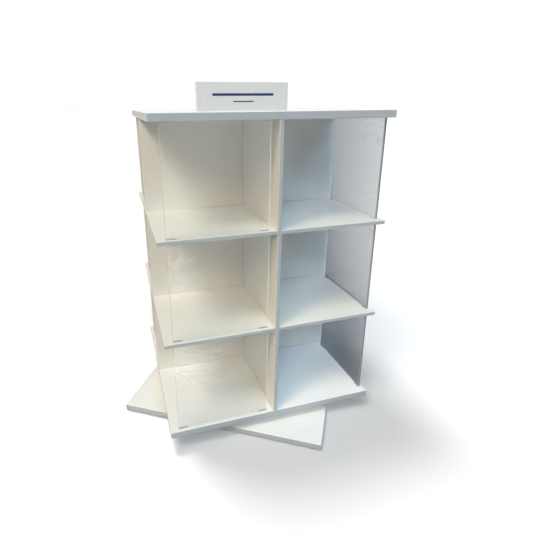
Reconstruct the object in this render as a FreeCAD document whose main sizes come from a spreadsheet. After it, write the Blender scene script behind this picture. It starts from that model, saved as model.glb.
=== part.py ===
# Counter-top rotating display stand of white and clear acrylic sheet.
# Three tiers of four compartments turn on a ball swivel above a square base.
# Millimetres, +Z up, origin on the turning axis at the level of the table.
import FreeCAD, Part
import os
import Sketcher

doc = FreeCAD.newDocument("DisplayStand")

# Driving dimensions
SIZES = [
    ("cabinet_width", 300, "side of the square top and bottom plates"),
    ("plate_thick", 9.3, "top and bottom plate"),
    ("plate_round", 0.8, "rounding of the plates' edges"),
    ("wall_thick", 5, "crossed upright walls"),
    ("wall_round", 0.5, "rounding of the walls' outer edges"),
    ("halving_play", 0.1, "play each side in the walls' crossing slots"),
    ("tier_clear", 130.5, "free height of one compartment"),
    ("shelf_thick", 5, "quarter shelves"),
    ("shelf_round", 0.6, "rounding of the shelves' outer edges"),
    ("panel_thick", 3, "clear panels"),
    ("panel_inset", 5, "from a plate's edge to a clear panel's face"),
    ("panel_gap", 11.5, "from a clear panel's end to the corner and to the wall's middle"),
    ("tab_width", 12, "tabs at a clear panel's corners"),
    ("tab_depth", 2.2, "how far a tab enters a shelf or plate"),
    ("tab_play", 0.1, "play each side of a tab in its slot"),
    ("base_side", 300, "side of the square base plate"),
    ("base_thick", 9.3, "base plate"),
    ("base_turn", -32.8, "angle of the base under the cabinet"),
    ("foot_radius", 7, "rubber feet"),
    ("foot_height", 2, "rubber feet"),
    ("foot_taper", 1, "how much smaller a foot is where it stands"),
    ("foot_inset", 22, "from the base plate's edges to a foot's middle"),
    ("disc_thick", 3.5, "both steel discs of the swivel"),
    ("upper_disc_radius", 85, "disc under the cabinet"),
    ("lower_disc_radius", 70, "disc on the base"),
    ("disc_round", 0.6, "rounding of the discs' rims"),
    ("race_radius", 58, "circle of the swivel's balls"),
    ("race_depth", 1, "how far a ball sits in each disc"),
    ("ball_radius", 4, "swivel balls"),
    ("ball_play", 0.05, "play of a ball in its groove"),
    ("cage_thick", 2, "ring that spaces the balls"),
    ("cage_rim", 3, "cage material on each side of a ball"),
    ("cage_play", 0.15, "play of a ball in the cage"),
    ("rivet_radius", 5, "centre rivet's shank"),
    ("rivet_play", 0.05, "running play of the upper disc on the rivet"),
    ("rivet_head_radius", 9, "both heads of the rivet"),
    ("rivet_head_thick", 1.2, "both heads of the rivet"),
    ("rivet_head_play", 0.3, "play round the rivet's upper head"),
    ("screw_radius", 2, "shanks of all screws"),
    ("screw_head_radius", 3.8, "countersunk heads"),
    ("screw_head_deep", 2, "depth of a countersunk head"),
    ("screw_play", 0.05, "play round a screw"),
    ("screw_key", 1.3, "corner radius of the hexagon socket"),
    ("screw_key_deep", 1.1, "depth of the hexagon socket"),
    ("upper_screw_margin", 8, "from the upper disc's rim to the cabinet's screws"),
    ("upper_screw_grip", 5.5, "length of a screw in the bottom plate"),
    ("lower_screw_circle", 34, "from the axis to the base's screws"),
    ("screw_tip_short", 0.4, "how far a screw ends below the surface it nears"),
    ("sign_width", 103, "header sign"),
    ("sign_height", 30, "header sign"),
    ("sign_thick", 6, "header sign"),
    ("sign_setback", 1.5, "from the top plate's front edge to the sign's face"),
    ("sign_shift", 45.5, "how far the sign's middle is left of the axis"),
    ("sign_round", 0.5, "rounding of the sign's upright edges"),
]

TIERS = ["bottom", "middle", "top"]
SHELVES = ["lower", "upper"]
QUARTERS = ["front_left", "front_right", "back_right", "back_left"]
BALLS = 16
CROSS = 4
FULL_TURN = 360
QUARTER_TURN = 90
DIAGONAL = 45
NEAR = 1e-6

sheet = doc.addObject("Spreadsheet::Sheet", "Sizes")
for row, (alias, value, note) in enumerate(SIZES, start=1):
    sheet.set(f"A{row}", note)
    sheet.set(f"B{row}", str(value))
    sheet.setAlias(f"B{row}", alias)
doc.recompute()

# Heights of the faces that pieces share
BASE_BOTTOM = "Sizes.foot_height"
BASE_TOP = f"({BASE_BOTTOM} + Sizes.base_thick)"
BALL_LEVEL = f"({BASE_TOP} + Sizes.disc_thick - Sizes.race_depth + Sizes.ball_radius)"
UPPER_DISC_BOTTOM = f"({BALL_LEVEL} + Sizes.ball_radius - Sizes.race_depth)"
PLATE_BOTTOM = f"({UPPER_DISC_BOTTOM} + Sizes.disc_thick)"
FLOOR_LEVEL = f"({PLATE_BOTTOM} + Sizes.plate_thick)"
TIER_PITCH = "(Sizes.tier_clear + Sizes.shelf_thick)"
WALL_HEIGHT = f"({len(TIERS)} * Sizes.tier_clear + {len(SHELVES)} * Sizes.shelf_thick)"
CEILING_LEVEL = f"({FLOOR_LEVEL} + {WALL_HEIGHT})"
TOP_LEVEL = f"({CEILING_LEVEL} + Sizes.plate_thick)"

# Places in plan, for the front left quarter
HALF_WIDTH = "(Sizes.cabinet_width / 2)"
HALF_WALL = "(Sizes.wall_thick / 2)"
PANEL_FRONT = f"(-{HALF_WIDTH} + Sizes.panel_inset)"
PANEL_LEFT = f"(-{HALF_WIDTH} + Sizes.panel_gap)"
PANEL_RIGHT = "(-Sizes.panel_gap)"

# Radius of the circle of screws that hold the upper disc
UPPER_SCREW_CIRCLE = "(Sizes.upper_disc_radius - Sizes.upper_screw_margin)"

parts = []


def number(expression):
    return float(sheet.evalExpression(expression))


def origin_feature(body, role):
    return next(o for o in body.Origin.OriginFeatures if o.Role == role)


def new_body(label):
    body = doc.addObject("PartDesign::Body", label)
    parts.append(body)
    return body


def place(piece, height, turn="0", across="0", along="0"):
    where = f"vector({across}; {along}; {height})"
    piece.setExpression("Placement", f"placement({where}; rotation(vector(0; 0; 1); {turn}))")


def place_on_ring(piece, radius, angle, height):
    across = f"{radius} * cos({angle})"
    along = f"{radius} * sin({angle})"
    place(piece, height, angle, across, along)


# Sketches

def new_sketch(body, plane, lift="0"):
    sketch = body.newObject("Sketcher::SketchObject", body.Label + "_outline")
    sketch.AttachmentSupport = (origin_feature(body, plane), [""])
    sketch.MapMode = "FlatFace"
    sketch.setExpression("AttachmentOffset.Base.z", lift)
    return sketch


def bind(sketch, constraint, expression):
    index = sketch.addConstraint(constraint)
    sketch.setExpression(f"Constraints[{index}]", expression)


def fix_point(sketch, line, end, x, y):
    bind(sketch, Sketcher.Constraint("DistanceX", -1, 1, line, end, number(x)), x)
    bind(sketch, Sketcher.Constraint("DistanceY", -1, 1, line, end, number(y)), y)


def draw_outline(sketch, corners):
    points = [FreeCAD.Vector(number(x), number(y), 0) for x, y in corners]
    following = points[1:] + points[:1]
    first = sketch.GeometryCount
    for point, after in zip(points, following):
        sketch.addGeometry(Part.LineSegment(point, after), False)
    for i, (x, y) in enumerate(corners):
        line = first + i
        next_line = first + (i + 1) % len(corners)
        sketch.addConstraint(Sketcher.Constraint("Coincident", line, 2, next_line, 1))
        fix_point(sketch, line, 1, x, y)


def draw_rectangle(sketch, left, right, front, back):
    draw_outline(sketch, [(left, front), (right, front), (right, back), (left, back)])


def draw_circle(sketch, x, y, radius):
    centre = FreeCAD.Vector(number(x), number(y), 0)
    line = sketch.GeometryCount
    sketch.addGeometry(Part.Circle(centre, FreeCAD.Vector(0, 0, 1), number(radius)), False)
    fix_point(sketch, line, 3, x, y)
    bind(sketch, Sketcher.Constraint("Radius", line, number(radius)), radius)


# Features

def pad(body, sketch, length, reverse=False, midplane=False):
    feature = body.newObject("PartDesign::Pad", body.Label + "_pad")
    feature.Profile = sketch
    feature.Midplane = midplane
    feature.Reversed = reverse
    feature.setExpression("Length", length)
    doc.recompute()
    return feature


def check_cut(body, feature, volume_before):
    doc.recompute()
    if feature.Shape.Volume >= volume_before:
        raise RuntimeError(f"{feature.Label} cuts nothing from {body.Label}")


def pocket(body, sketch, depth, upward=False):
    volume_before = body.Shape.Volume
    feature = body.newObject("PartDesign::Pocket", body.Label + "_pocket")
    feature.Profile = sketch
    feature.Reversed = upward
    feature.setExpression("Length", depth)
    check_cut(body, feature, volume_before)
    return feature


def turn_profile(body, sketch, kind):
    feature = body.newObject(kind, body.Label + "_turned")
    feature.Profile = sketch
    feature.ReferenceAxis = (sketch, ["V_Axis"])
    return feature


def countersink(body, across):
    volume_before = body.Shape.Volume
    cone = body.newObject("PartDesign::SubtractiveCone", body.Label + "_countersink")
    cone.AttachmentSupport = (origin_feature(body, "XY_Plane"), [""])
    cone.MapMode = "FlatFace"
    cone.setExpression("AttachmentOffset.Base.x", across)
    cone.setExpression("Radius1", "Sizes.screw_head_radius + Sizes.screw_play")
    cone.setExpression("Radius2", "Sizes.screw_radius + Sizes.screw_play")
    cone.setExpression("Height", "Sizes.screw_head_deep")
    check_cut(body, cone, volume_before)
    return cone


def repeat_round(body, features, count):
    pattern = body.newObject("PartDesign::PolarPattern", body.Label + "_ring")
    pattern.Originals = features
    pattern.Axis = (origin_feature(body, "Z_Axis"), [""])
    pattern.Angle = FULL_TURN
    pattern.Occurrences = count
    body.Tip = pattern
    doc.recompute()


def round_edges(body, feature, radius, wanted=lambda edge: True):
    names = [f"Edge{i}" for i, edge in enumerate(feature.Shape.Edges, start=1) if wanted(edge)]
    fillet = body.newObject("PartDesign::Fillet", body.Label + "_rounding")
    fillet.Base = (feature, names)
    fillet.setExpression("Radius", radius)
    doc.recompute()


# Slots for a clear panel's two tabs, along the front left quarter's front edge

def draw_tab_slots(sketch):
    front = f"{PANEL_FRONT} - Sizes.tab_play"
    back = f"{PANEL_FRONT} + Sizes.panel_thick + Sizes.tab_play"
    tabs = [
        (PANEL_LEFT, f"{PANEL_LEFT} + Sizes.tab_width"),
        (f"{PANEL_RIGHT} - Sizes.tab_width", PANEL_RIGHT),
    ]
    for left, right in tabs:
        draw_rectangle(sketch, f"{left} - Sizes.tab_play", f"{right} + Sizes.tab_play", front, back)


# Square plates with rounded edges

def square_plate(label, side, thick):
    body = new_body(label)
    half = f"{side} / 2"
    sketch = new_sketch(body, "XY_Plane")
    draw_rectangle(sketch, f"-{half}", half, f"-{half}", half)
    round_edges(body, pad(body, sketch, thick), "Sizes.plate_round")
    return body


def make_bottom_plate():
    body = square_plate("bottom_plate", "Sizes.cabinet_width", "Sizes.plate_thick")
    slots = new_sketch(body, "XY_Plane", "Sizes.plate_thick")
    draw_tab_slots(slots)
    cut = pocket(body, slots, "Sizes.tab_depth + Sizes.tab_play")
    repeat_round(body, [cut], CROSS)
    holes = new_sketch(body, "XY_Plane")
    draw_circle(holes, UPPER_SCREW_CIRCLE, "0", "Sizes.screw_radius + Sizes.screw_play")
    cut = pocket(body, holes, "Sizes.upper_screw_grip + Sizes.screw_play", upward=True)
    repeat_round(body, [cut], CROSS)
    place(body, PLATE_BOTTOM)


def make_top_plate():
    body = square_plate("top_plate", "Sizes.cabinet_width", "Sizes.plate_thick")
    slots = new_sketch(body, "XY_Plane")
    draw_tab_slots(slots)
    cut = pocket(body, slots, "Sizes.tab_depth + Sizes.tab_play", upward=True)
    repeat_round(body, [cut], CROSS)
    place(body, CEILING_LEVEL)


def make_base_plate():
    body = square_plate("base_plate", "Sizes.base_side", "Sizes.base_thick")
    holes = new_sketch(body, "XY_Plane")
    draw_circle(holes, "Sizes.lower_screw_circle", "0", "Sizes.screw_radius + Sizes.screw_play")
    cut = pocket(body, holes, "Sizes.base_thick", upward=True)
    cone = countersink(body, "Sizes.lower_screw_circle")
    repeat_round(body, [cut, cone], CROSS)
    place(body, BASE_BOTTOM, "Sizes.base_turn")


def make_feet():
    for i, side in enumerate(["right", "back", "left", "front"]):
        foot = doc.addObject("Part::Cone", f"foot_{side}")
        foot.setExpression("Radius1", "Sizes.foot_radius - Sizes.foot_taper")
        foot.setExpression("Radius2", "Sizes.foot_radius")
        foot.setExpression("Height", "Sizes.foot_height")
        reach = "(Sizes.base_side / 2 - Sizes.foot_inset) * sqrt(2)"
        place_on_ring(foot, reach, f"(Sizes.base_turn + {DIAGONAL + i * QUARTER_TURN})", "0")
        parts.append(foot)


# Crossed walls, each with a slot over half its height that takes the other

def make_wall(label, turn, slot_at_top):
    body = new_body(label)
    half_slot = f"({HALF_WALL} + Sizes.halving_play)"
    middle = f"({WALL_HEIGHT} / 2)"
    slot_end = WALL_HEIGHT if slot_at_top else "0"
    plain_end = "0" if slot_at_top else WALL_HEIGHT
    sketch = new_sketch(body, "XZ_Plane")
    draw_outline(sketch, [
        (f"-{HALF_WIDTH}", plain_end),
        (HALF_WIDTH, plain_end),
        (HALF_WIDTH, slot_end),
        (half_slot, slot_end),
        (half_slot, middle),
        (f"-{half_slot}", middle),
        (f"-{half_slot}", slot_end),
        (f"-{HALF_WIDTH}", slot_end),
    ])
    board = pad(body, sketch, "Sizes.wall_thick", midplane=True)
    reach = number(HALF_WIDTH)

    def is_end(edge):
        upright = edge.BoundBox.ZLength > NEAR
        return upright and abs(abs(edge.CenterOfMass.x) - reach) < NEAR

    round_edges(body, board, "Sizes.wall_round", is_end)
    place(body, FLOOR_LEVEL, str(turn))


# Quarter shelves, cemented into the corners of the crossed walls

def make_shelf(level, quarter):
    body = new_body(f"shelf_{SHELVES[level]}_{QUARTERS[quarter]}")
    sketch = new_sketch(body, "XY_Plane")
    draw_rectangle(sketch, f"-{HALF_WIDTH}", f"-{HALF_WALL}", f"-{HALF_WIDTH}", f"-{HALF_WALL}")
    board = pad(body, sketch, "Sizes.shelf_thick")
    inner = -number(HALF_WALL)
    outer = -number(HALF_WIDTH)

    def is_free(edge):
        middle = edge.CenterOfMass
        at_wall = abs(middle.x - inner) < NEAR or abs(middle.y - inner) < NEAR
        at_rim = abs(middle.x - outer) < NEAR or abs(middle.y - outer) < NEAR
        return at_rim and not at_wall

    round_edges(body, board, "Sizes.shelf_round", is_free)
    slots = new_sketch(body, "XY_Plane", "Sizes.shelf_thick")
    draw_tab_slots(slots)
    pocket(body, slots, "Sizes.shelf_thick")
    lift = f"{FLOOR_LEVEL} + Sizes.tier_clear + {level} * {TIER_PITCH}"
    place(body, lift, str(quarter * QUARTER_TURN))


# Clear panels with a tab at each corner

def make_panel(tier, quarter):
    body = new_body(f"panel_{TIERS[tier]}_{QUARTERS[quarter]}")
    left_tab = f"({PANEL_LEFT} + Sizes.tab_width)"
    right_tab = f"({PANEL_RIGHT} - Sizes.tab_width)"
    tip_below = "-Sizes.tab_depth"
    tip_above = "(Sizes.tier_clear + Sizes.tab_depth)"
    sketch = new_sketch(body, "XZ_Plane", f"-{PANEL_FRONT}")
    draw_outline(sketch, [
        (PANEL_LEFT, tip_below),
        (left_tab, tip_below),
        (left_tab, "0"),
        (right_tab, "0"),
        (right_tab, tip_below),
        (PANEL_RIGHT, tip_below),
        (PANEL_RIGHT, tip_above),
        (right_tab, tip_above),
        (right_tab, "Sizes.tier_clear"),
        (left_tab, "Sizes.tier_clear"),
        (left_tab, tip_above),
        (PANEL_LEFT, tip_above),
    ])
    pad(body, sketch, "Sizes.panel_thick", reverse=True)
    place(body, f"{FLOOR_LEVEL} + {tier} * {TIER_PITCH}", str(quarter * QUARTER_TURN))


# Header sign on the top plate

def make_sign():
    body = new_body("header_sign")
    left = "(-Sizes.sign_shift - Sizes.sign_width / 2)"
    front = f"(-{HALF_WIDTH} + Sizes.sign_setback)"
    sketch = new_sketch(body, "XY_Plane")
    draw_rectangle(sketch, left, f"{left} + Sizes.sign_width", front, f"{front} + Sizes.sign_thick")
    board = pad(body, sketch, "Sizes.sign_height")
    round_edges(body, board, "Sizes.sign_round", lambda edge: edge.BoundBox.ZLength > NEAR)
    place(body, TOP_LEVEL)


# Swivel: two steel discs, balls in a cage between them, and a rivet on the axis

def make_disc(label, radius, race_level, rim_level):
    body = new_body(label)
    sketch = new_sketch(body, "XY_Plane")
    draw_circle(sketch, "0", "0", radius)
    disc = pad(body, sketch, "Sizes.disc_thick")
    rim = number(rim_level)
    round_edges(body, disc, "Sizes.disc_round", lambda edge: abs(edge.CenterOfMass.z - rim) < NEAR)
    race = new_sketch(body, "XZ_Plane")
    draw_circle(race, "Sizes.race_radius", race_level, "Sizes.ball_radius + Sizes.ball_play")
    volume_before = body.Shape.Volume
    check_cut(body, turn_profile(body, race, "PartDesign::Groove"), volume_before)
    return body


def bore(body, radius, level, depth, across="0"):
    sketch = new_sketch(body, "XY_Plane", level)
    draw_circle(sketch, across, "0", radius)
    return pocket(body, sketch, depth, upward=True)


def make_lower_disc():
    race_level = "(Sizes.disc_thick - Sizes.race_depth + Sizes.ball_radius)"
    body = make_disc("swivel_lower_disc", "Sizes.lower_disc_radius", race_level, "Sizes.disc_thick")
    bore(body, "Sizes.rivet_radius + Sizes.rivet_play", "0", "Sizes.disc_thick")
    bore(body, "Sizes.rivet_head_radius + Sizes.rivet_head_play", "0", "Sizes.rivet_head_thick")
    screw_hole = "Sizes.screw_radius + Sizes.screw_play"
    cut = bore(body, screw_hole, "0", "Sizes.disc_thick", "Sizes.lower_screw_circle")
    repeat_round(body, [cut], CROSS)
    place(body, BASE_TOP, "Sizes.base_turn")


def make_upper_disc():
    race_level = "(Sizes.race_depth - Sizes.ball_radius)"
    body = make_disc("swivel_upper_disc", "Sizes.upper_disc_radius", race_level, "0")
    bore(body, "Sizes.rivet_radius + Sizes.rivet_play", "0", "Sizes.disc_thick")
    seat_depth = "(Sizes.rivet_head_thick + 2 * Sizes.rivet_head_play)"
    seat_radius = "Sizes.rivet_head_radius + Sizes.rivet_head_play"
    bore(body, seat_radius, f"Sizes.disc_thick - {seat_depth}", seat_depth)
    screw_hole = "Sizes.screw_radius + Sizes.screw_play"
    cut = bore(body, screw_hole, "0", "Sizes.disc_thick", UPPER_SCREW_CIRCLE)
    cone = countersink(body, UPPER_SCREW_CIRCLE)
    repeat_round(body, [cut, cone], CROSS)
    place(body, UPPER_DISC_BOTTOM)


def make_rivet():
    body = new_body("swivel_rivet")
    top = f"({PLATE_BOTTOM} - {BASE_TOP} - Sizes.rivet_head_play)"
    sketch = new_sketch(body, "XZ_Plane")
    draw_outline(sketch, [
        ("0", "0"),
        ("Sizes.rivet_head_radius", "0"),
        ("Sizes.rivet_head_radius", "Sizes.rivet_head_thick"),
        ("Sizes.rivet_radius", "Sizes.rivet_head_thick"),
        ("Sizes.rivet_radius", f"{top} - Sizes.rivet_head_thick"),
        ("Sizes.rivet_head_radius", f"{top} - Sizes.rivet_head_thick"),
        ("Sizes.rivet_head_radius", top),
        ("0", top),
    ])
    turn_profile(body, sketch, "PartDesign::Revolution")
    place(body, BASE_TOP)


def make_cage():
    body = new_body("swivel_cage")
    sketch = new_sketch(body, "XY_Plane")
    draw_circle(sketch, "0", "0", "Sizes.race_radius + Sizes.ball_radius + Sizes.cage_rim")
    draw_circle(sketch, "0", "0", "Sizes.race_radius - Sizes.ball_radius - Sizes.cage_rim")
    pad(body, sketch, "Sizes.cage_thick")
    cut = bore(
        body, "Sizes.ball_radius + Sizes.cage_play", "0", "Sizes.cage_thick", "Sizes.race_radius"
    )
    repeat_round(body, [cut], BALLS)
    place(body, f"{BALL_LEVEL} - Sizes.cage_thick / 2")


def group(label, pieces):
    compound = doc.addObject("Part::Compound", label)
    compound.Links = pieces
    parts.append(compound)


def make_balls():
    balls = []
    for i in range(BALLS):
        ball = doc.addObject("Part::Sphere", "ball")
        ball.setExpression("Radius", "Sizes.ball_radius")
        place_on_ring(ball, "Sizes.race_radius", f"({i} * {FULL_TURN} / {BALLS})", BALL_LEVEL)
        balls.append(ball)
    group("swivel_balls", balls)


# Countersunk screws with a hexagon socket, heads down

def make_screws(label, length, circle, start_angle, level):
    screws = []
    for i in range(CROSS):
        head = doc.addObject("Part::Cone", label + "_head")
        head.setExpression("Radius1", "Sizes.screw_head_radius")
        head.setExpression("Radius2", "Sizes.screw_radius")
        head.setExpression("Height", "Sizes.screw_head_deep")
        shank = doc.addObject("Part::Cylinder", label + "_shank")
        shank.setExpression("Radius", "Sizes.screw_radius")
        shank.setExpression("Height", length)
        blank = doc.addObject("Part::Fuse", label + "_blank")
        blank.Base = head
        blank.Tool = shank
        socket = doc.addObject("Part::Prism", label + "_socket")
        socket.setExpression("Circumradius", "Sizes.screw_key")
        socket.setExpression("Height", "Sizes.screw_key_deep")
        screw = doc.addObject("Part::Cut", label + "_screw")
        screw.Base = blank
        screw.Tool = socket
        place_on_ring(screw, circle, f"({start_angle} + {i * QUARTER_TURN})", level)
        screws.append(screw)
    group(label, screws)


def check_all():
    for item in doc.Objects:
        if "Invalid" in item.State or "Error" in item.State:
            raise RuntimeError(f"{item.Label} failed: {item.State}")
    for piece in parts:
        if piece.Shape.isNull() or not piece.Shape.isValid():
            raise RuntimeError(f"{piece.Label} has no valid shape")


make_base_plate()
make_feet()
make_lower_disc()
make_upper_disc()
make_rivet()
make_cage()
make_balls()
make_screws(
    "base_screws",
    "Sizes.base_thick + Sizes.disc_thick - Sizes.screw_tip_short",
    "Sizes.lower_screw_circle", "Sizes.base_turn", BASE_BOTTOM,
)
make_screws(
    "cabinet_screws",
    "Sizes.disc_thick + Sizes.upper_screw_grip",
    UPPER_SCREW_CIRCLE, "0", UPPER_DISC_BOTTOM,
)
make_bottom_plate()
make_wall("divider_wall", QUARTER_TURN, slot_at_top=True)
make_wall("cross_wall", 0, slot_at_top=False)
for level in range(len(SHELVES)):
    for quarter in range(len(QUARTERS)):
        make_shelf(level, quarter)
for tier in range(len(TIERS)):
    for quarter in range(len(QUARTERS)):
        make_panel(tier, quarter)
make_top_plate()
make_sign()
doc.recompute()
check_all()

os.makedirs("parts", exist_ok=True)
for piece in parts:
    piece.Shape.exportStep(f"parts/{piece.Label}.step")
    box = piece.Shape.BoundBox
    sizes = [round(v, 1) for v in (box.XLength, box.YLength, box.ZLength)]
    print(piece.Label, sizes, round(piece.Shape.Volume))
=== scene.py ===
import bpy
import math
from mathutils import Euler, Matrix, Vector


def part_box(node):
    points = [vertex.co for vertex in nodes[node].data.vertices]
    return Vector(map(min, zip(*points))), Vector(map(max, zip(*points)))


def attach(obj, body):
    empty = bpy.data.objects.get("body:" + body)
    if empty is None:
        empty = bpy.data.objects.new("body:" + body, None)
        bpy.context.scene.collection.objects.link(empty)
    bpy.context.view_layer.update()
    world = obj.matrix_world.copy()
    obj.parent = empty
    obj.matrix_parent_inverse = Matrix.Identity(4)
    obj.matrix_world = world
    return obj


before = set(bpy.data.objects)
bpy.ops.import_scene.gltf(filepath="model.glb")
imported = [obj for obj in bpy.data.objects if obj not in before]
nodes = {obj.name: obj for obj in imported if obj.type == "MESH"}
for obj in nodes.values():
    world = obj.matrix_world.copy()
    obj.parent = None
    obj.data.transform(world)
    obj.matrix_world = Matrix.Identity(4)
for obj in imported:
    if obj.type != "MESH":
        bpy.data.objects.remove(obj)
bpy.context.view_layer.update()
bpy.ops.object.select_all(action="DESELECT")
scene = bpy.context.scene
print("frame loaded,", len(nodes), "nodes")

tiers = ["bottom", "middle", "top"]
quarters = ["front_left", "front_right", "back_right", "back_left"]


# Small helpers for shader nodes

def put(tree, kind, settings=None, **values):
    made = tree.nodes.new("ShaderNode" + kind)
    for name, value in (settings or {}).items():
        setattr(made, name, value)
    for name, value in values.items():
        feed(tree, made.inputs[name.replace("_", " ")], value)
    return made


def feed(tree, socket, value):
    if isinstance(value, bpy.types.NodeSocket):
        tree.links.new(value, socket)
    else:
        socket.default_value = value


def maths(tree, operation, *values):
    made = put(tree, "Math", {"operation": operation})
    for socket, value in zip(made.inputs, values):
        feed(tree, socket, value)
    return made.outputs[0]


def mixColours(tree, factor, first, second):
    made = put(tree, "Mix", {"data_type": "RGBA"})
    for socket, value in zip((made.inputs[0], made.inputs[6], made.inputs[7]), (factor, first, second)):
        feed(tree, socket, value)
    return made.outputs[2]


def mixValues(tree, factor, first, second):
    made = put(tree, "Mix", {"data_type": "FLOAT"})
    for socket, value in zip((made.inputs[0], made.inputs[2], made.inputs[3]), (factor, first, second)):
        feed(tree, socket, value)
    return made.outputs[0]


def spread(tree, value, low, high, newLow=0.0, newHigh=1.0):
    made = put(tree, "MapRange", Value=value)
    for name, number in (("From Min", low), ("From Max", high), ("To Min", newLow), ("To Max", newHigh)):
        feed(tree, made.inputs[name], number)
    return made.outputs[0]


def startGroup(name, inputs, outputs):
    group = bpy.data.node_groups.new(name, "ShaderNodeTree")
    for direction, sockets in (("INPUT", inputs), ("OUTPUT", outputs)):
        for label, kind in sockets.items():
            group.interface.new_socket(name=label, in_out=direction, socket_type="NodeSocket" + kind)
    return group, group.nodes.new("NodeGroupInput"), group.nodes.new("NodeGroupOutput")


def useGroup(tree, group, **values):
    made = put(tree, "Group", {"node_tree": group}, **values)
    return made.outputs


def startMaterial(name):
    material = bpy.data.materials.new(name)
    material.use_nodes = True
    material.node_tree.nodes.clear()
    return material, material.node_tree


def finishMaterial(tree, shader):
    output = put(tree, "OutputMaterial")
    tree.links.new(shader, output.inputs["Surface"])


# Slow drift of a sheet's shade

shadeDrift = {
    "detail": 2.0,
    "darkFrom": 0.35,     # cloud values that are darkest and palest
    "paleTo": 0.65,
}


def makeToneGroup():
    group, given, result = startGroup(
        "sheetTone",
        {"Colour": "Color", "Drift": "Float", "Size": "Float"},
        {"Colour": "Color"},
    )
    place = put(group, "TexCoord").outputs["Object"]
    cloud = put(group, "TexNoise", Vector=place, Scale=given.outputs["Size"], Detail=shadeDrift["detail"])
    low = maths(group, "SUBTRACT", 1.0, given.outputs["Drift"])
    shade = spread(group, cloud.outputs["Fac"], shadeDrift["darkFrom"], shadeDrift["paleTo"], low, 1.0)
    shaded = put(group, "VectorMath", {"operation": "SCALE"}, Scale=shade)
    group.links.new(given.outputs["Colour"], shaded.inputs[0])
    group.links.new(shaded.outputs[0], result.inputs["Colour"])
    return group


# Smears and fine hairlines left by wiping, and creases in a protective film

wipeMarks = {
    "smearDetail": 3.0,
    "smearBend": 0.6,
    "smear": (0.46, 0.72),        # cloud values where a smear begins and is full
    "swirlSize": 6.0,             # slow swirl that bends the hairlines and creases
    "swirlReach": (0.05, 0.05, 0.05),
    "hairTurn": (0.5, 0.9, 0.4),
    "hairStretch": (900.0, 60.0, 60.0),
    "hair": (0.66, 0.78),
    "bare": (0.4, 0.6),           # outside the smears only a few hairlines show
    "bareHairs": 0.15,
    "creaseStretch": (0.7, 0.7, 1.7),
    "creaseSize": 34.0,
    "creaseDetail": 1.5,
    "creaseBend": 0.8,
    "creaseWidth": 0.05,
    "patchSize": 11.0,            # the creases lie in patches
    "patch": (0.42, 0.55),
}


def makeWipeGroup():
    look = wipeMarks
    group, given, result = startGroup(
        "wipeMarks",
        {"Size": "Float", "Amount": "Float"},
        {"Smear": "Float", "Hairline": "Float", "Streak": "Float"},
    )
    place = put(group, "TexCoord").outputs["Object"]
    cloud = put(
        group, "TexNoise", Vector=place, Scale=given.outputs["Size"],
        Detail=look["smearDetail"], Distortion=look["smearBend"],
    )
    smear = spread(group, cloud.outputs["Fac"], *look["smear"])
    swirl = put(group, "TexNoise", Vector=place, Scale=look["swirlSize"], Detail=1.0)
    bent = put(group, "VectorMath", {"operation": "MULTIPLY_ADD"})
    group.links.new(swirl.outputs["Color"], bent.inputs[0])
    bent.inputs[1].default_value = look["swirlReach"]
    group.links.new(place, bent.inputs[2])
    stretched = put(
        group, "Mapping", Vector=bent.outputs[0], Rotation=look["hairTurn"], Scale=look["hairStretch"],
    )
    hairs = put(group, "TexNoise", Vector=stretched.outputs[0], Scale=1.0, Detail=1.0)
    hair = spread(group, hairs.outputs["Fac"], *look["hair"])
    kept = spread(group, cloud.outputs["Fac"], *look["bare"], look["bareHairs"], 1.0)
    hairline = maths(group, "MULTIPLY", hair, kept)
    drawn = put(group, "Mapping", Vector=bent.outputs[0], Scale=look["creaseStretch"])
    crease = put(
        group, "TexNoise", Vector=drawn.outputs[0], Scale=look["creaseSize"],
        Detail=look["creaseDetail"], Distortion=look["creaseBend"],
    )
    offCrease = maths(group, "ABSOLUTE", maths(group, "SUBTRACT", crease.outputs["Fac"], 0.5))
    line = spread(group, offCrease, 0.0, look["creaseWidth"], 1.0, 0.0)
    where = put(group, "TexNoise", Vector=place, Scale=look["patchSize"], Detail=0.0)
    streak = maths(group, "MULTIPLY", line, spread(group, where.outputs["Fac"], *look["patch"]))
    for name, mask in (("Smear", smear), ("Hairline", hairline), ("Streak", streak)):
        group.links.new(maths(group, "MULTIPLY", mask, given.outputs["Amount"]), result.inputs[name])
    return group


# Where a sheet was cut to size, and the fine lines that the saw left across its thickness

cutEdge = {
    "facing": 0.6,        # faces turned further than this from the thin way are cut ones
    "sawSize": 1400.0,
    "sawDetail": 2.0,
}


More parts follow.
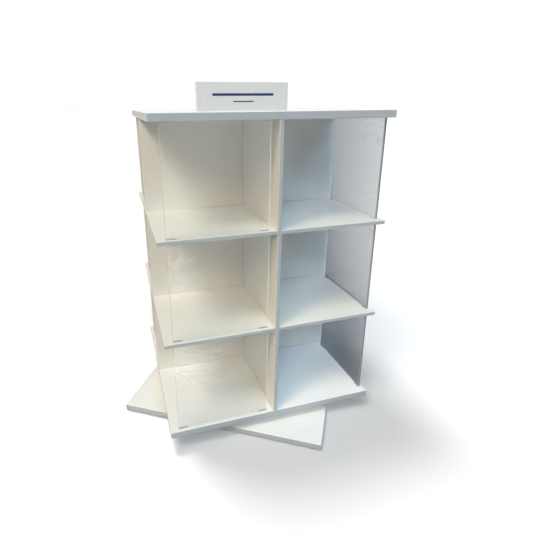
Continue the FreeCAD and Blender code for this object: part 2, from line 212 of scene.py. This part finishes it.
def makeCutGroup():
    group, given, result = startGroup(
        "cutEdge",
        {"Thin Way": "Vector"},
        {"Edge": "Float", "Saw Lines": "Float", "Depth": "Float"},
    )
    coordinates = put(group, "TexCoord")
    facing = put(group, "VectorMath", {"operation": "DOT_PRODUCT"})
    group.links.new(coordinates.outputs["Normal"], facing.inputs[0])
    group.links.new(given.outputs["Thin Way"], facing.inputs[1])
    edge = maths(group, "LESS_THAN", maths(group, "ABSOLUTE", facing.outputs["Value"]), cutEdge["facing"])
    across = put(group, "VectorMath", {"operation": "DOT_PRODUCT"})
    group.links.new(coordinates.outputs["Object"], across.inputs[0])
    group.links.new(given.outputs["Thin Way"], across.inputs[1])
    depth = put(group, "VectorMath", {"operation": "SCALE"}, Scale=across.outputs["Value"])
    group.links.new(given.outputs["Thin Way"], depth.inputs[0])
    flat = put(group, "VectorMath", {"operation": "SUBTRACT"})
    group.links.new(coordinates.outputs["Object"], flat.inputs[0])
    group.links.new(depth.outputs[0], flat.inputs[1])
    lines = put(
        group, "TexNoise", Vector=flat.outputs[0], Scale=cutEdge["sawSize"], Detail=cutEdge["sawDetail"],
    )
    group.links.new(edge, result.inputs["Edge"])
    group.links.new(maths(group, "ABSOLUTE", across.outputs["Value"]), result.inputs["Depth"])
    group.links.new(lines.outputs["Fac"], result.inputs["Saw Lines"])
    return group


# A printed bar on the face that looks to the front

frontFacing = -0.7   # Y of the normal, and less on that face


def makeBarGroup():
    group, given, result = startGroup(
        "printedBar",
        {"Centre": "Vector", "Half Length": "Float", "Half Height": "Float"},
        {"Ink": "Float"},
    )
    coordinates = put(group, "TexCoord")
    offset = put(group, "VectorMath", {"operation": "SUBTRACT"})
    group.links.new(coordinates.outputs["Object"], offset.inputs[0])
    group.links.new(given.outputs["Centre"], offset.inputs[1])
    distance = put(group, "VectorMath", {"operation": "ABSOLUTE"})
    group.links.new(offset.outputs[0], distance.inputs[0])
    apart = put(group, "SeparateXYZ", Vector=distance.outputs[0])
    normal = put(group, "SeparateXYZ", Vector=coordinates.outputs["Normal"])
    inLength = maths(group, "LESS_THAN", apart.outputs["X"], given.outputs["Half Length"])
    inHeight = maths(group, "LESS_THAN", apart.outputs["Z"], given.outputs["Half Height"])
    onFront = maths(group, "LESS_THAN", normal.outputs["Y"], frontFacing)
    ink = maths(group, "MULTIPLY", maths(group, "MULTIPLY", inLength, inHeight), onFront)
    group.links.new(ink, result.inputs["Ink"])
    return group


# The strip of a clear panel through which its rear or bottom cut edge is seen, and its outer upper part

panelPlaces = {
    "slack": 0.0002,          # keeps the panels' lowest points inside the strip
    "outer": (0.04, 0.08),    # how far from the rear edge the outer part begins and is full
    "upper": (0.05, 0.09),    # and how far from the bottom the upper part does
}


def makeNearGroup():
    look = panelPlaces
    group, given, result = startGroup(
        "nearCut",
        {
            "Long Way": "Vector", "Rear End": "Float", "Floor": "Float", "Pitch": "Float",
            "Rear Width": "Float", "Floor Width": "Float",
        },
        {"Near": "Float", "Outer Top": "Float"},
    )
    place = put(group, "TexCoord").outputs["Object"]
    along = put(group, "VectorMath", {"operation": "DOT_PRODUCT"})
    group.links.new(place, along.inputs[0])
    group.links.new(given.outputs["Long Way"], along.inputs[1])
    fromMiddle = maths(group, "ABSOLUTE", along.outputs["Value"])
    fromRear = maths(group, "SUBTRACT", fromMiddle, given.outputs["Rear End"])
    height = put(group, "SeparateXYZ", Vector=place).outputs["Z"]
    above = maths(group, "ADD", maths(group, "SUBTRACT", height, given.outputs["Floor"]), look["slack"])
    fromFloor = maths(group, "MODULO", above, given.outputs["Pitch"])
    nearRear = maths(group, "LESS_THAN", fromRear, given.outputs["Rear Width"])
    nearFloor = maths(group, "LESS_THAN", fromFloor, given.outputs["Floor Width"])
    group.links.new(maths(group, "MAXIMUM", nearRear, nearFloor), result.inputs["Near"])
    outer = spread(group, fromRear, *look["outer"])
    upper = spread(group, fromFloor, *look["upper"])
    group.links.new(maths(group, "MULTIPLY", outer, upper), result.inputs["Outer Top"])
    return group


toneGroup = makeToneGroup()
nearGroup = makeNearGroup()
wipeGroup = makeWipeGroup()
cutGroup = makeCutGroup()
barGroup = makeBarGroup()
print("shared effects made")

thinWays = [(1.0, 0.0, 0.0), (0.0, 1.0, 0.0), (0.0, 0.0, 1.0)]


def thinWayOf(node):
    # 0, 1 or 2 for a sheet that is thin along X, Y or Z
    low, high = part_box(node)
    size = high - low
    return min(range(3), key=lambda axis: size[axis])


# White acrylic: polished faces with wipe marks, and duller cut edges

whiteAcrylic = {
    "face": (0.86, 0.845, 0.80, 1.0),
    "plateFace": (0.93, 0.93, 0.92, 1.0),
    "edge": (0.53, 0.55, 0.575, 1.0),
    "worn": (0.60, 0.60, 0.58, 1.0),
    "wornAmount": 0.05,
    "sheetMarks": 0.6,
    "plateMarks": 1.0,
    "drift": 0.03,
    "driftSize": 9.0,
    "cleanRoughness": 0.09,
    "smearRoughness": 0.24,
    "edgeRoughness": 0.36,
    "smearSize": 14.0,
    "scratchDepth": 0.15,
    "bump": 0.25,
    "bumpHeight": 0.0001,
    "ior": 1.49,
}


def makeWhiteAcrylic(name, face, thinWay, marks):
    look = whiteAcrylic
    material, tree = startMaterial(name)
    tone = useGroup(tree, toneGroup, Colour=look[face], Drift=look["drift"], Size=look["driftSize"])
    wipe = useGroup(tree, wipeGroup, Size=look["smearSize"], Amount=marks)
    cut = useGroup(tree, cutGroup, Thin_Way=thinWay)
    worn = maths(tree, "MULTIPLY", wipe["Smear"], look["wornAmount"])
    dulled = mixColours(tree, worn, tone["Colour"], look["worn"])
    colour = mixColours(tree, cut["Edge"], dulled, look["edge"])
    faceRoughness = mixValues(tree, wipe["Smear"], look["cleanRoughness"], look["smearRoughness"])
    roughness = mixValues(tree, cut["Edge"], faceRoughness, look["edgeRoughness"])
    sawn = maths(tree, "MULTIPLY", cut["Saw Lines"], cut["Edge"])
    scratched = maths(tree, "MULTIPLY", wipe["Hairline"], look["scratchDepth"])
    height = maths(tree, "SUBTRACT", sawn, scratched)
    bump = put(tree, "Bump", Strength=look["bump"], Distance=look["bumpHeight"], Height=height)
    shader = put(
        tree, "BsdfPrincipled", Base_Color=colour, Roughness=roughness,
        IOR=look["ior"], Normal=bump.outputs[0],
    )
    finishMaterial(tree, shader.outputs[0])
    return material


# Clear acrylic: panels painted greyer the more they are seen from the side, painted shade that stands for
# darker surroundings seen through them

clearAcrylic = {
    "tint": (0.975, 0.985, 0.98, 1.0),
    # painted shade: the grey the sheet is painted with where it is seen from the side
    "paintedSideShade": (0.058, 0.064, 0.074, 1.0),
    "sideShadeFrom": 0.22,                        # how far to the side the painted side shade begins and is full
    "sideShadeTo": 0.54,
    "edge": (0.38, 0.375, 0.36, 1.0),        # cut edges seen from outside
    "innerEdgeHighlight": (0.68, 0.75, 0.82, 1.0),    # and seen through the sheet, painted paler as a painted highlight
    "rim": (0.10, 0.105, 0.115, 1.0),        # painted shade: dark line along the outer side of each cut edge
    "rimFrom": 0.1436,                       # how far from the axis that line begins and is full
    "rimTo": 0.1444,
    "haze": (0.93, 0.93, 0.90, 1.0),
    "hazeAmount": 0.07,
    "streakAmount": 0.18,
    "shadowTint": (0.93, 0.94, 0.94, 1.0),
    "paintedGlow": (0.24, 0.30, 0.35, 1.0),         # painted glow: emission on the rear and bottom cut edges seen through the sheet, standing in for light the sheet carries to them
    "rearWidth": 0.0019,                     # how wide the rear cut edge looks through the sheet
    "floorWidth": 0.0019,                    # and the bottom one
    "edgeOn": (0.60, 0.54, 0.45, 1.0),       # painted reflection: beige where the sheet is seen almost edge on
    "edgeOnFrom": 0.84,
    "edgeOnTo": 0.92,
    "edgeOnRoughness": 0.5,
    "smearSize": 24.0,
    "hazeRoughness": 0.4,
    # painted glow: the haze emits a little light of its own colour
    "hazePaintedGlow": 0.2,
    "hazeGone": 0.6,                         # how full the painted side shade is where the creases no longer show
    "edgeRoughness": 0.25,
    "ior": 1.49,
}


def makeClearAcrylic(name, thinWay):
    look = clearAcrylic
    material, tree = startMaterial(name)
    wipe = useGroup(tree, wipeGroup, Size=look["smearSize"], Amount=1.0)
    cut = useGroup(tree, cutGroup, Thin_Way=thinWay)
    side = put(tree, "LayerWeight", Blend=0.5)
    panelLow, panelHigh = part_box("panel_bottom_front_left")
    nearCut = useGroup(
        tree, nearGroup, Long_Way=thinWays[1 - thinWays.index(thinWay)], Rear_End=-panelHigh.x,
        Floor=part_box("bottom_plate")[1].z, Rear_Width=look["rearWidth"], Floor_Width=look["floorWidth"],
        Pitch=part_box("panel_middle_front_left")[0].z - panelLow.z,
    )
    near = nearCut["Near"]
    clearOfCuts = maths(tree, "SUBTRACT", 1.0, near)
    seenInside = maths(tree, "MULTIPLY", near, put(tree, "NewGeometry").outputs["Backfacing"])
    # painted shade: the sheet is painted grey the further it is seen from the side, except in the strips
    # where its rear and bottom cut edges are seen
    seenSideways = spread(tree, side.outputs["Facing"], look["sideShadeFrom"], look["sideShadeTo"])
    sideShade = maths(tree, "MULTIPLY", seenSideways, clearOfCuts)
    colour = mixColours(tree, sideShade, look["tint"], look["paintedSideShade"])
    glass = put(
        tree, "BsdfPrincipled", Base_Color=colour, Roughness=0.0, IOR=look["ior"],
        Transmission_Weight=1.0,
    )
    hairs = maths(tree, "MULTIPLY", wipe["Hairline"], look["hazeAmount"])
    rubbed = maths(tree, "MULTIPLY", wipe["Streak"], nearCut["Outer Top"])
    shown = spread(tree, seenSideways, 0.0, look["hazeGone"], look["streakAmount"], 0.0)
    streaks = maths(tree, "MULTIPLY", rubbed, shown)
    hazeMask = maths(tree, "MAXIMUM", hairs, streaks)
    # the haze marks also glow a little, a painted glow
    haze = put(
        tree, "BsdfPrincipled", Base_Color=look["haze"], Roughness=look["hazeRoughness"],
        Emission_Color=look["haze"], Emission_Strength=look["hazePaintedGlow"],
    )
    marked = put(tree, "MixShader", Fac=hazeMask)
    tree.links.new(glass.outputs[0], marked.inputs[1])
    tree.links.new(haze.outputs[0], marked.inputs[2])
    # painted reflection: a beige surface mixed in where the sheet is seen almost edge on
    edgeOnReflection = put(
        tree, "BsdfPrincipled", Base_Color=look["edgeOn"], Roughness=look["edgeOnRoughness"],
        IOR=look["ior"],
    )
    edgeOn = spread(tree, side.outputs["Facing"], look["edgeOnFrom"], look["edgeOnTo"])
    withEdgeOnReflection = put(tree, "MixShader", Fac=edgeOn)
    tree.links.new(marked.outputs[0], withEdgeOnReflection.inputs[1])
    tree.links.new(edgeOnReflection.outputs[0], withEdgeOnReflection.inputs[2])
    # painted shade: a dark line along the outer side of each cut edge
    rim = spread(tree, cut["Depth"], look["rimFrom"], look["rimTo"])
    outerTone = mixColours(tree, rim, look["edge"], look["rim"])
    # painted highlight and glow: cut edges seen through the sheet are painted paler and emit a little light
    edgeTone = mixColours(tree, seenInside, outerTone, look["innerEdgeHighlight"])
    paintedGlow = mixColours(tree, seenInside, (0.0, 0.0, 0.0, 1.0), look["paintedGlow"])
    edge = put(
        tree, "BsdfPrincipled", Base_Color=edgeTone, Roughness=look["edgeRoughness"], IOR=look["ior"],
        Emission_Color=paintedGlow, Emission_Strength=1.0,
    )
    whole = put(tree, "MixShader", Fac=cut["Edge"])
    tree.links.new(withEdgeOnReflection.outputs[0], whole.inputs[1])
    tree.links.new(edge.outputs[0], whole.inputs[2])
    path = put(tree, "LightPath")
    passing = maths(tree, "MAXIMUM", path.outputs["Is Shadow Ray"], path.outputs["Is Diffuse Ray"])
    through = put(tree, "BsdfTransparent", Color=look["shadowTint"])
    shader = put(tree, "MixShader", Fac=passing)
    tree.links.new(whole.outputs[0], shader.inputs[1])
    tree.links.new(through.outputs[0], shader.inputs[2])
    finishMaterial(tree, shader.outputs[0])
    return material


# Header sign: white board with two plain printed rules

headerSign = {
    "face": (0.985, 0.96, 0.95, 1.0),
    "ink": (0.012, 0.03, 0.16, 1.0),
    "longRule": (0.0345, 0.0013, 0.0175),    # half length, half height, height above the top plate
    "shortRule": (0.0115, 0.0006, 0.0105),
    "drift": 0.02,
    "driftSize": 20.0,
    "smearSize": 30.0,
    "smearAmount": 0.5,
    "cleanRoughness": 0.22,
    "smearRoughness": 0.36,
    "bump": 0.2,
    "bumpHeight": 0.0001,
    "ior": 1.49,
}


def makeSignFace():
    look = headerSign
    low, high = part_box("header_sign")
    middle = (low + high) / 2
    material, tree = startMaterial("signFace")
    tone = useGroup(tree, toneGroup, Colour=look["face"], Drift=look["drift"], Size=look["driftSize"])
    wipe = useGroup(tree, wipeGroup, Size=look["smearSize"], Amount=look["smearAmount"])
    cut = useGroup(tree, cutGroup, Thin_Way=thinWays[1])
    ink = 0.0
    for halfLength, halfHeight, level in (look["longRule"], look["shortRule"]):
        bar = useGroup(
            tree, barGroup, Centre=(middle.x, middle.y, low.z + level),
            Half_Length=halfLength, Half_Height=halfHeight,
        )
        ink = maths(tree, "MAXIMUM", ink, bar["Ink"])
    colour = mixColours(tree, ink, tone["Colour"], look["ink"])
    roughness = mixValues(tree, wipe["Smear"], look["cleanRoughness"], look["smearRoughness"])
    sawn = maths(tree, "MULTIPLY", cut["Saw Lines"], cut["Edge"])
    bump = put(tree, "Bump", Strength=look["bump"], Distance=look["bumpHeight"], Height=sawn)
    shader = put(
        tree, "BsdfPrincipled", Base_Color=colour, Roughness=roughness, IOR=look["ior"],
        Normal=bump.outputs[0],
    )
    finishMaterial(tree, shader.outputs[0])
    return material


# Metal, nylon and rubber of the swivel and feet

grainedLooks = {
    "zincSteel": {
        "first": (0.66, 0.67, 0.68, 1.0), "second": (0.50, 0.51, 0.53, 1.0), "metallic": 1.0,
        "grainSize": 260.0, "roughness": (0.26, 0.42), "bump": 0.1, "bumpHeight": 0.0001,
    },
    "brightSteel": {
        "first": (0.80, 0.80, 0.81, 1.0), "second": (0.70, 0.70, 0.72, 1.0), "metallic": 1.0,
        "grainSize": 400.0, "roughness": (0.08, 0.16), "bump": 0.1, "bumpHeight": 0.0001,
    },
    "screwSteel": {
        "first": (0.62, 0.63, 0.64, 1.0), "second": (0.46, 0.47, 0.48, 1.0), "metallic": 1.0,
        "grainSize": 900.0, "roughness": (0.25, 0.4), "bump": 0.1, "bumpHeight": 0.0001,
    },
    "cageNylon": {
        "first": (0.82, 0.81, 0.76, 1.0), "second": (0.74, 0.72, 0.66, 1.0), "metallic": 0.0,
        "grainSize": 700.0, "roughness": (0.4, 0.55), "bump": 0.3, "bumpHeight": 0.0002,
    },
    "footRubber": {
        "first": (0.05, 0.05, 0.05, 1.0), "second": (0.025, 0.025, 0.026, 1.0), "metallic": 0.0,
        "grainSize": 1500.0, "roughness": (0.6, 0.8), "bump": 0.3, "bumpHeight": 0.0002,
    },
}
grain = {"detail": 4.0, "from": 0.35, "to": 0.65}


def makeGrained(name):
    look = grainedLooks[name]
    material, tree = startMaterial(name)
    place = put(tree, "TexCoord").outputs["Object"]
    specks = put(tree, "TexNoise", Vector=place, Scale=look["grainSize"], Detail=grain["detail"])
    mask = spread(tree, specks.outputs["Fac"], grain["from"], grain["to"])
    colour = mixColours(tree, mask, look["first"], look["second"])
    roughness = mixValues(tree, mask, *look["roughness"])
    bump = put(
        tree, "Bump", Strength=look["bump"], Distance=look["bumpHeight"], Height=specks.outputs["Fac"],
    )
    shader = put(
        tree, "BsdfPrincipled", Base_Color=colour, Metallic=look["metallic"], Roughness=roughness,
        Normal=bump.outputs[0],
    )
    finishMaterial(tree, shader.outputs[0])
    return material


# Each node's finish

def dress(node, material):
    piece = nodes[node]
    if not piece.material_slots:
        piece.data.materials.append(material)
    for holder in piece.material_slots:
        holder.link = "OBJECT"
        holder.material = material


whiteSheets = {}
clearSheets = {}
for axis, letter in enumerate("XYZ"):
    thinWay = thinWays[axis]
    whiteSheets[axis] = makeWhiteAcrylic("whiteSheet" + letter, "face", thinWay, whiteAcrylic["sheetMarks"])
    if letter != "Z":
        clearSheets[axis] = makeClearAcrylic("clearSheet" + letter, thinWay)
whitePlate = makeWhiteAcrylic("whitePlate", "plateFace", thinWays[2], whiteAcrylic["plateMarks"])
zincSteel = makeGrained("zincSteel")
brightSteel = makeGrained("brightSteel")
screwSteel = makeGrained("screwSteel")
rubber = makeGrained("footRubber")
finishes = {
    "header_sign": makeSignFace(),
    "swivel_lower_disc": zincSteel,
    "swivel_upper_disc": zincSteel,
    "swivel_balls": brightSteel,
    "swivel_rivet": brightSteel,
    "swivel_cage": makeGrained("cageNylon"),
    "base_screws": screwSteel,
    "cabinet_screws": screwSteel,
}

for node in nodes:
    if node.startswith("panel_"):
        dress(node, clearSheets[thinWayOf(node)])
    elif node.startswith("shelf_") or node.endswith("_wall"):
        dress(node, whiteSheets[thinWayOf(node)])
    elif node.endswith("_plate"):
        dress(node, whitePlate)
    elif node.startswith("foot_"):
        dress(node, rubber)
    else:
        dress(node, finishes[node])
print("nodes dressed")


# Cement seams in the inner corners of each compartment, coloured darker than the sheets as painted shade
# along those corners

seam = {
    "leg": 0.0005,        # how far the cement reaches over each sheet
    "cutShare": 0.92,     # how much of that the bevel takes
    "segments": 3,
    "hollow": 0.12,       # profile of the bevel, under 0.25 is hollow
    "freeShare": 0.9,     # only the edge on the free side lies further out than this share of a leg
    # darker than the sheets: painted shade along the inner corners, on the cement beads
    "dark": (0.50, 0.49, 0.46, 1.0),
    "pale": (0.70, 0.69, 0.65, 1.0),
    "patchSize": 90.0,
    "patchDetail": 3.0,
    "roughness": 0.3,
    "bump": 0.4,
    "bumpHeight": 0.0002,
    "round": 0.0006,      # rounding of the sheets' front edges, where the cement ends
}
cementPatches = (0.35, 0.7)   # cloud values where the cement and painted shade lines are darkest and palest


# A darker patchy finish for the cement seams and the slot lines, painted shade in the corners and slots
def makeCementAndShade(name, look):
    material, tree = startMaterial(name)
    place = put(tree, "TexCoord").outputs["Object"]
    patches = put(tree, "TexNoise", Vector=place, Scale=look["patchSize"], Detail=look["patchDetail"])
    mask = spread(tree, patches.outputs["Fac"], *cementPatches)
    colour = mixColours(tree, mask, look["dark"], look["pale"])
    bump = put(
        tree, "Bump", Strength=look["bump"], Distance=look["bumpHeight"], Height=patches.outputs["Fac"],
    )
    shader = put(
        tree, "BsdfPrincipled", Base_Color=colour, Roughness=look["roughness"], Normal=bump.outputs[0],
    )
    finishMaterial(tree, shader.outputs[0])
    return material


def joined(pieces, material):
    bpy.ops.object.select_all(action="DESELECT")
    for piece in pieces:
        piece.select_set(True)
    bpy.context.view_layer.objects.active = pieces[0]
    bpy.ops.object.join()
    whole = bpy.context.object
    bpy.ops.object.transform_apply(location=True, rotation=True, scale=True)
    whole.data.materials.append(material)
    return whole


def copyRound(first, name, pitch):
    # the piece of the front left compartment at the bottom, copied to every compartment
    for tierIndex, tier in enumerate(tiers):
        for quarterIndex, quarter in enumerate(quarters):
            copied = first.copy()
            copied.data = first.data.copy()
            copied.name = f"{name}_{tier}_{quarter}"
            scene.collection.objects.link(copied)
            turned = Matrix.Rotation(quarterIndex * math.pi / 2, 4, "Z")
            copied.data.transform(Matrix.Translation((0, 0, tierIndex * pitch)) @ turned)
            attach(copied, "cabinet")
    bpy.data.objects.remove(first)


def addBead(low, high, free):
    # a bar from corner low to corner high, hollowed along the edge that lies on the free side
    low, high = Vector(low), Vector(high)
    bpy.ops.mesh.primitive_cube_add(size=1, location=(low + high) / 2)
    bead = bpy.context.object
    bead.scale = high - low
    bpy.ops.object.transform_apply(location=False, rotation=False, scale=True)
    bpy.ops.object.mode_set(mode="EDIT")
    bpy.ops.mesh.select_all(action="DESELECT")
    bpy.ops.object.mode_set(mode="OBJECT")
    free = Vector(free)
    for edge in bead.data.edges:
        ends = [bead.data.vertices[i].co for i in edge.vertices]
        middle = (ends[0] + ends[1]) / 2
        reach = sum(abs(a) for a, b in zip(middle, free) if b and a * b > 0)
        edge.select = reach > seam["leg"] * seam["freeShare"]
    bpy.ops.object.mode_set(mode="EDIT")
    bpy.ops.mesh.select_mode(type="EDGE")
    bpy.ops.mesh.bevel(
        offset=seam["leg"] * seam["cutShare"], segments=seam["segments"], profile=seam["hollow"],
    )
    bpy.ops.object.mode_set(mode="OBJECT")
    return bead


def makeSeams(material):
    leg = seam["leg"]
    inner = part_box("divider_wall")[0].x
    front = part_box("bottom_plate")[0].y
    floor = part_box("bottom_plate")[1].z
    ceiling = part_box("shelf_lower_front_left")[0].z
    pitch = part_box("shelf_upper_front_left")[0].z - ceiling
    outer = front + seam["round"]
    beads = [
        addBead((inner - leg, inner - leg, floor + leg), (inner, inner, ceiling - leg), (-1, -1, 0)),
        addBead((outer, inner - leg, floor), (inner, inner, floor + leg), (0, -1, 1)),
        addBead((outer, inner - leg, ceiling - leg), (inner, inner, ceiling), (0, -1, -1)),
        addBead((inner - leg, outer, floor), (inner, inner - leg, floor + leg), (-1, 0, 1)),
        addBead((inner - leg, outer, ceiling - leg), (inner, inner - leg, ceiling), (-1, 0, -1)),
    ]
    copyRound(joined(beads, material), "seam", pitch)


makeSeams(makeCementAndShade("cement", seam))
print("cement seams made")


# Painted shade: dark lines along the slots that the clear panels' tabs sit in, standing in for the shadow
# in the slot gaps

slotShadeLine = {
    "length": 0.0124,     # a little longer than a tab
    "height": 0.0005,
    "depth": 0.0003,
    "soften": 0.0001,
    "segments": 2,
    # painted shade of the gaps around the tabs
    "dark": (0.34, 0.33, 0.31, 1.0),
    "pale": (0.50, 0.49, 0.46, 1.0),
    "patchSize": 240.0,
    "patchDetail": 2.0,
    "roughness": 0.45,
    "bump": 0.3,
    "bumpHeight": 0.0001,
}


def addSlotShadeLine(middle):
    bpy.ops.mesh.primitive_cube_add(size=1, location=middle)
    line = bpy.context.object
    line.scale = (slotShadeLine["length"], slotShadeLine["depth"], slotShadeLine["height"])
    bpy.ops.object.transform_apply(location=True, rotation=True, scale=True)
    bpy.ops.object.mode_set(mode="EDIT")
    bpy.ops.mesh.select_all(action="SELECT")
    bpy.ops.mesh.bevel(offset=slotShadeLine["soften"], segments=slotShadeLine["segments"])
    bpy.ops.object.mode_set(mode="OBJECT")
    return line


def makeSlotShadeLines(material):
    low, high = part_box("panel_bottom_front_left")
    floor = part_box("bottom_plate")[1].z
    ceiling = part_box("shelf_lower_front_left")[0].z
    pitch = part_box("shelf_upper_front_left")[0].z - ceiling
    halfLength = slotShadeLine["length"] / 2
    lines = []
    for x in (low.x + halfLength, high.x - halfLength):
        for y in (low.y - slotShadeLine["depth"] / 2, high.y + slotShadeLine["depth"] / 2):
            for z in (floor + slotShadeLine["height"] / 2, ceiling - slotShadeLine["height"] / 2):
                lines.append(addSlotShadeLine((x, y, z)))
    copyRound(joined(lines, material), "slot_shade_line", pitch)


makeSlotShadeLines(makeCementAndShade("slotShade", slotShadeLine))
print("slot lines made")


# Floor, world, lamps and camera

studio = {
    "floorSize": 60,
    "floorColour": (0.71, 0.68, 0.675, 1.0),
    "floorBounce": (0.20, 0.20, 0.20, 1.0),   # what the object gets back from the floor
    "floorLift": 0.11,    # added where the camera looks, so that the open floor reads white
    "ambient": (1.0, 1.0, 1.0, 1.0),
    "ambientLevel": 0.02,
}


def seesBackground(tree):
    path = put(tree, "LightPath")
    seen = maths(tree, "MAXIMUM", path.outputs["Is Camera Ray"], path.outputs["Is Glossy Ray"])
    return maths(tree, "MAXIMUM", seen, path.outputs["Is Transmission Ray"])


def makeFloor():
    material, tree = startMaterial("floorPaper")
    seen = seesBackground(tree)
    colour = mixColours(tree, seen, studio["floorBounce"], studio["floorColour"])
    diffuse = put(tree, "BsdfDiffuse", Color=colour)
    lift = put(tree, "Emission", Strength=maths(tree, "MULTIPLY", seen, studio["floorLift"]))
    both = put(tree, "AddShader")
    tree.links.new(diffuse.outputs[0], both.inputs[0])
    tree.links.new(lift.outputs[0], both.inputs[1])
    finishMaterial(tree, both.outputs[0])
    bpy.ops.mesh.primitive_plane_add(size=studio["floorSize"], location=(0, 0, 0))
    floor = bpy.context.object
    floor.name = "floor"
    floor.data.materials.append(material)
    return floor


def makeWorld():
    world = bpy.data.worlds.new("studio")
    scene.world = world
    world.use_nodes = True
    tree = world.node_tree
    tree.nodes.clear()
    ambient = put(tree, "Background", Color=studio["ambient"], Strength=studio["ambientLevel"])
    white = put(tree, "Background", Color=(1, 1, 1, 1), Strength=1.0)
    chosen = put(tree, "MixShader", Fac=seesBackground(tree))
    tree.links.new(ambient.outputs[0], chosen.inputs[1])
    tree.links.new(white.outputs[0], chosen.inputs[2])
    output = put(tree, "OutputWorld")
    tree.links.new(chosen.outputs[0], output.inputs["Surface"])


# A lamp at turn 0 and rise 0 shines on the front, and turn 90 is from the left.
# "lights" says what a lamp lights where that isn't everything: "stand" leaves the floor out, and
# "floor" is the floor alone. "shine": False keeps a lamp out of reflections.

lamps = {
    "keyLeft": {"turn": 60, "rise": 58, "colour": (1.0, 0.96, 0.88), "strength": 1.32, "spread": 18},
    "lowLeft": {
        "turn": 60, "rise": 40, "colour": (1.0, 0.58, 0.08), "strength": 0.55, "spread": 18,
        "lights": "stand",
    },
    "frontLeft": {"turn": 30, "rise": 35, "colour": (1.0, 0.97, 0.86), "strength": 0.90, "spread": 18},
    "highFront": {"turn": 0, "rise": 60, "colour": (0.68, 0.95, 1.0), "strength": 0.38, "spread": 20},
    "window": {"turn": 338, "rise": 35, "colour": (0.42, 0.71, 1.0), "strength": 0.76, "spread": 24},
    "windowRight": {
        "turn": 270, "rise": 35, "colour": (0.26, 0.52, 1.0), "strength": 0.50, "spread": 30,
        "lights": "stand",
    },
    "backLeft": {
        "turn": 172, "rise": 15, "colour": (1.0, 0.98, 0.95), "strength": 0.75, "spread": 30,
        "lights": "stand", "shine": False,
    },
    "backRight": {
        "turn": 250, "rise": 20, "colour": (0.82, 0.90, 1.0), "strength": 0.65, "spread": 30,
        "lights": "stand", "shine": False,
    },
    "floorShade": {
        "turn": 147, "rise": 72, "colour": (0.93, 0.96, 1.0), "strength": 2.4, "spread": 15,
        "lights": "floor",
    },
}


def makeLamps(floor):
    lists = {name: bpy.data.collections.new(name + "Lit") for name in ("floor", "stand")}
    for listed in lists.values():
        listed.objects.link(floor)
    lists["stand"].collection_objects[0].light_linking.link_state = "EXCLUDE"
    for name, look in lamps.items():
        data = bpy.data.lights.new(name, "SUN")
        data.energy = look["strength"]
        data.color = look["colour"]
        data.angle = math.radians(look["spread"])
        lamp = bpy.data.objects.new(name, data)
        scene.collection.objects.link(lamp)
        lamp.rotation_euler = (math.radians(90 - look["rise"]), 0, math.radians(-look["turn"]))
        lamp.visible_glossy = look.get("shine", True)
        if "lights" in look:
            lamp.light_linking.receiver_collection = lists[look["lights"]]


view = {
    "place": (-0.18582, -0.60087, 0.45253),
    "turnRight": 16.4955,
    "tiltDown": 18.9649,
    "roll": -0.4927,
    "lens": 27.85,
    "shift": (0.0513, -0.0395),
}


def makeCamera():
    data = bpy.data.cameras.new("camera")
    data.lens = view["lens"]
    data.shift_x, data.shift_y = view["shift"]
    camera = bpy.data.objects.new("camera", data)
    scene.collection.objects.link(camera)
    aim = Euler((math.radians(90 - view["tiltDown"]), 0, math.radians(-view["turnRight"])))
    roll = Matrix.Rotation(math.radians(view["roll"]), 4, "Z")
    camera.matrix_world = Matrix.Translation(view["place"]) @ aim.to_matrix().to_4x4() @ roll
    scene.camera = camera


floor = makeFloor()
makeWorld()
makeLamps(floor)
makeCamera()
scene.view_settings.view_transform = "Standard"
print("studio made")
